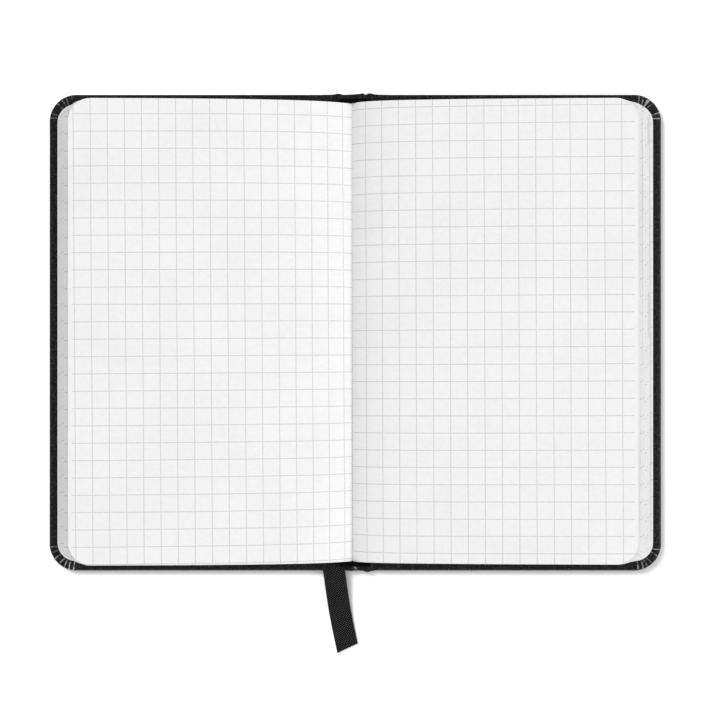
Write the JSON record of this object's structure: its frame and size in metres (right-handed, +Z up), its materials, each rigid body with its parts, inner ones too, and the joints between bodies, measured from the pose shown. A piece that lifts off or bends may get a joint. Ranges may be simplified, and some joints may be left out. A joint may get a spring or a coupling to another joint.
{
  "type": "pocket notebook",
  "caption": "Hardcover pocket notebook with squared pages and a bookmark ribbon, lying open; covers close, pages follow and leaves turn",
  "frame": {"origin": "on the table under the middle of the open covers, without the bookmark ribbon", "axes": "+Z up, +X from the spine to the back cover, +Y from the tail to the head of the pages"},
  "size_m": [0.1812, 0.1645, 0.0135],
  "materials": {
    "cover": "satin black leatherette with a fine grain",
    "board": "grey binding board",
    "page": "matte white, ruled in light grey squares",
    "endpaper": "matte white",
    "lining": "open cotton mull",
    "band": "black woven band",
    "ribbon": "black woven satin ribbon"
  },
  "bodies": {
    "spine": {"spine_strip": "board", "spine_wrap": "cover", "spine_lining": "lining", "head_band": "band", "tail_band": "band"},
    "front_cover": {"front_board": "board", "front_cover_wrap": "cover", "front_pastedown": "endpaper", "front_flyleaf": "endpaper", "bookmark_ribbon": "ribbon"},
    "back_cover": {"back_board": "board", "back_cover_wrap": "cover", "back_pastedown": "endpaper", "back_flyleaf": "endpaper"},
    "signature_01": {"signature_01": "page"},
    "signature_02": {"signature_02": "page"},
    "signature_03": {"signature_03": "page"},
    "signature_04": {"signature_04": "page"},
    "signature_05": {"signature_05": "page"},
    "signature_12": {"signature_12": "page"},
    "signature_11": {"signature_11": "page"},
    "signature_10": {"signature_10": "page"},
    "signature_09": {"signature_09": "page"},
    "signature_08": {"signature_08": "page"},
    "signature_07": {"signature_07": "page"},
    "signature_06": {"signature_06": "page"},
    "turning_leaf_1": {"turning_leaf_1": "page"},
    "turning_leaf_2": {"turning_leaf_2": "page"}
  },
  "joints": [
    {"name": "front_cover_hinge", "type": "hinge", "parent": "spine", "child": "front_cover", "pos_m": [-0.0054, 0, 0.0022], "axis": [0, 1, 0], "range_deg": [0, 90], "deforming": ["bookmark_ribbon"]},
    {"name": "back_cover_hinge", "type": "hinge", "parent": "spine", "child": "back_cover", "pos_m": [0.0054, 0, 0.0022], "axis": [0, -1, 0], "range_deg": [0, 90]},
    {"name": "signature_01_fold", "type": "hinge", "parent": "spine", "child": "signature_01", "pos_m": [-0.00455, 0, 0.00315], "axis": [0, 1, 0], "range_deg": [0, 89.55], "deforming": ["signature_01"]},
    {"name": "signature_02_fold", "type": "hinge", "parent": "spine", "child": "signature_02", "pos_m": [-0.00375, 0, 0.00315], "axis": [0, 1, 0], "range_deg": [0, 88.13], "deforming": ["signature_02"]},
    {"name": "signature_03_fold", "type": "hinge", "parent": "spine", "child": "signature_03", "pos_m": [-0.00295, 0, 0.00315], "axis": [0, 1, 0], "range_deg": [0, 86.71], "deforming": ["signature_03"]},
    {"name": "signature_04_fold", "type": "hinge", "parent": "spine", "child": "signature_04", "pos_m": [-0.00215, 0, 0.00315], "axis": [0, 1, 0], "range_deg": [0, 85.28], "deforming": ["signature_04"]},
    {"name": "signature_05_fold", "type": "hinge", "parent": "spine", "child": "signature_05", "pos_m": [-0.00105, 0, 0.00315], "axis": [0, 1, 0], "range_deg": [0, 83.29], "deforming": ["signature_05"]},
    {"name": "signature_12_fold", "type": "hinge", "parent": "spine", "child": "signature_12", "pos_m": [0.00452, 0, 0.00315], "axis": [0, -1, 0], "range_deg": [0, 89.69], "deforming": ["signature_12"]},
    {"name": "signature_11_fold", "type": "hinge", "parent": "spine", "child": "signature_11", "pos_m": [0.00383, 0, 0.00315], "axis": [0, -1, 0], "range_deg": [0, 88.96], "deforming": ["signature_11"]},
    {"name": "signature_10_fold", "type": "hinge", "parent": "spine", "child": "signature_10", "pos_m": [0.00314, 0, 0.00315], "axis": [0, -1, 0], "range_deg": [0, 88.23], "deforming": ["signature_10"]},
    {"name": "signature_09_fold", "type": "hinge", "parent": "spine", "child": "signature_09", "pos_m": [0.00245, 0, 0.00315], "axis": [0, -1, 0], "range_deg": [0, 87.5], "deforming": ["signature_09"]},
    {"name": "signature_08_fold", "type": "hinge", "parent": "spine", "child": "signature_08", "pos_m": [0.00177, 0, 0.00315], "axis": [0, -1, 0], "range_deg": [0, 86.77], "deforming": ["signature_08"]},
    {"name": "signature_07_fold", "type": "hinge", "parent": "spine", "child": "signature_07", "pos_m": [0.00108, 0, 0.00315], "axis": [0, -1, 0], "range_deg": [0, 86.04], "deforming": ["signature_07"]},
    {"name": "signature_06_fold", "type": "hinge", "parent": "spine", "child": "signature_06", "pos_m": [0.00039, 0, 0.00315], "axis": [0, -1, 0], "range_deg": [0, 85.3], "deforming": ["signature_06"]},
    {"name": "turning_leaf_1_turn", "type": "hinge", "parent": "signature_06", "child": "turning_leaf_1", "pos_m": [-0.0008, 0, 0.00315], "axis": [0, 1, 0], "range_deg": [-166.5, 0], "deforming": ["turning_leaf_1"]},
    {"name": "turning_leaf_2_turn", "type": "hinge", "parent": "signature_06", "child": "turning_leaf_2", "pos_m": [-0.00041, 0, 0.00315], "axis": [0, 1, 0], "range_deg": [-166.2, 0], "deforming": ["turning_leaf_2"]}
  ],
  "couplings": [
    {"joint": "signature_01_fold", "follows": "front_cover_hinge", "ratio": 0.99478},
    {"joint": "signature_02_fold", "follows": "front_cover_hinge", "ratio": 0.979},
    {"joint": "signature_03_fold", "follows": "front_cover_hinge", "ratio": 0.96322},
    {"joint": "signature_04_fold", "follows": "front_cover_hinge", "ratio": 0.94733},
    {"joint": "signature_05_fold", "follows": "front_cover_hinge", "ratio": 0.92522},
    {"joint": "signature_12_fold", "follows": "back_cover_hinge", "ratio": 0.99633},
    {"joint": "signature_11_fold", "follows": "back_cover_hinge", "ratio": 0.98822},
    {"joint": "signature_10_fold", "follows": "back_cover_hinge", "ratio": 0.98011},
    {"joint": "signature_09_fold", "follows": "back_cover_hinge", "ratio": 0.972},
    {"joint": "signature_08_fold", "follows": "back_cover_hinge", "ratio": 0.96389},
    {"joint": "signature_07_fold", "follows": "back_cover_hinge", "ratio": 0.95578},
    {"joint": "signature_06_fold", "follows": "back_cover_hinge", "ratio": 0.94756}
  ]
}
